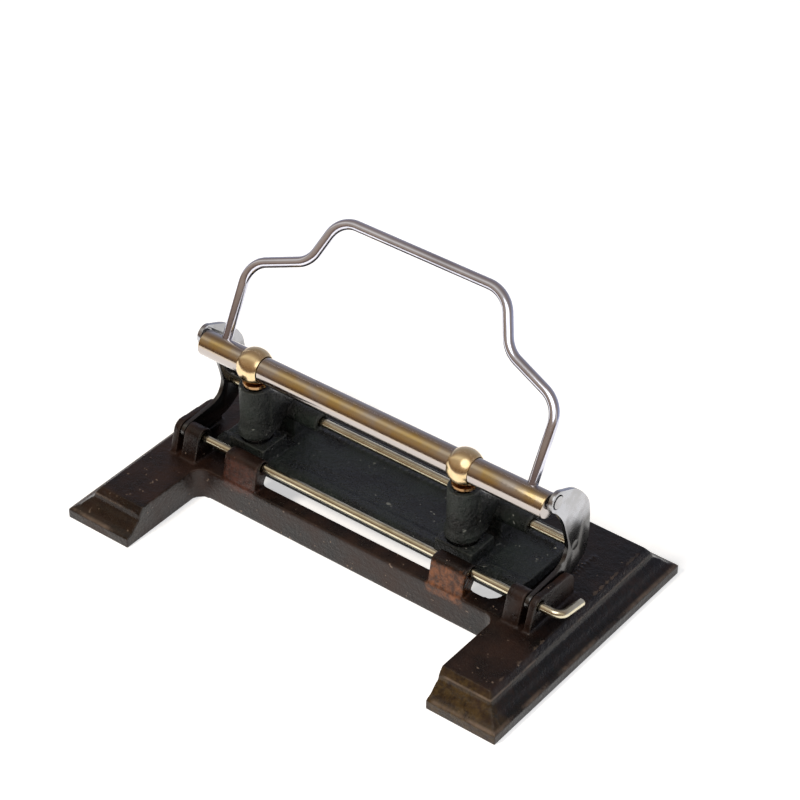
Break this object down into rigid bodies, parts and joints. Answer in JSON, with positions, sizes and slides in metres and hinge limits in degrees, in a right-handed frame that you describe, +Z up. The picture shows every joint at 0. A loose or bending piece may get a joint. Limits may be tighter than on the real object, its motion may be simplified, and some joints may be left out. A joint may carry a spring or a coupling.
{
  "type": "paper perforator",
  "caption": "Cast iron two-hole paper punch: a wire bail turns an eccentric bar on journals in hook plates and drives punches through post guides.",
  "frame": {"origin": "on the table, under the middle of the base's rectangle", "axes": "+X to the right along the bar, +Y to the back, +Z up; paper goes in towards +Y"},
  "size_m": [0.1436, 0.0826, 0.0836],
  "materials": {
    "japanned_iron": "worn black-brown japan over cast iron, semi-gloss",
    "green_black_iron": "greenish black japan, semi-gloss",
    "satin_steel": "satin sheet steel",
    "drawn_steel": "drawn steel with a warm tarnish",
    "polished_steel": "polished nickel-plated steel",
    "tool_steel": "turned steel",
    "brass": "polished turned brass"
  },
  "bodies": {
    "frame": {"base_casting": "japanned_iron", "punch_frame": "green_black_iron", "left_hook_plate": "satin_steel", "right_hook_plate": "satin_steel", "front_rod": "drawn_steel", "rear_rod": "drawn_steel", "left_die": "tool_steel", "right_die": "tool_steel", "frame_screw_1": "tool_steel", "frame_screw_2": "tool_steel", "frame_screw_3": "tool_steel", "frame_screw_4": "tool_steel"},
    "shaft": {"eccentric_bar": "polished_steel", "left_journal": "tool_steel", "right_journal": "tool_steel", "bail_handle": "polished_steel"},
    "left_eye": {"left_ball": "brass", "left_ball_stem": "brass", "left_collar": "brass"},
    "right_eye": {"right_ball": "brass", "right_ball_stem": "brass", "right_collar": "brass"},
    "left_punch_body": {"left_punch": "tool_steel"},
    "right_punch_body": {"right_punch": "tool_steel"}
  },
  "joints": [
    {"name": "bail_turn", "type": "hinge", "parent": "frame", "child": "shaft", "pos_m": [0, 0.00204, 0.04296], "axis": [-1, 0, 0], "range_deg": [-10, 95]},
    {"name": "left_ball_turn", "type": "hinge", "parent": "shaft", "child": "left_eye", "pos_m": [-0.03943, 0.00065, 0.04166], "axis": [-1, 0, 0], "range_deg": [-95, 10]},
    {"name": "right_ball_turn", "type": "hinge", "parent": "shaft", "child": "right_eye", "pos_m": [0.03043, 0.00065, 0.04166], "axis": [-1, 0, 0], "range_deg": [-95, 10]},
    {"name": "left_punch_slide", "type": "slide", "parent": "frame", "child": "left_punch_body", "axis": [0, 0, 1], "range_m": [-0.00031, 0.00286]},
    {"name": "right_punch_slide", "type": "slide", "parent": "frame", "child": "right_punch_body", "axis": [0, 0, 1], "range_m": [-0.00031, 0.00286]}
  ],
  "couplings": [
    {"joint": "left_ball_turn", "follows": "bail_turn", "ratio": -1},
    {"joint": "right_ball_turn", "follows": "bail_turn", "ratio": -1},
    {"joint": "left_punch_slide", "follows": "bail_turn", "m_per_rad": 0.00172},
    {"joint": "right_punch_slide", "follows": "bail_turn", "m_per_rad": 0.00172}
  ]
}
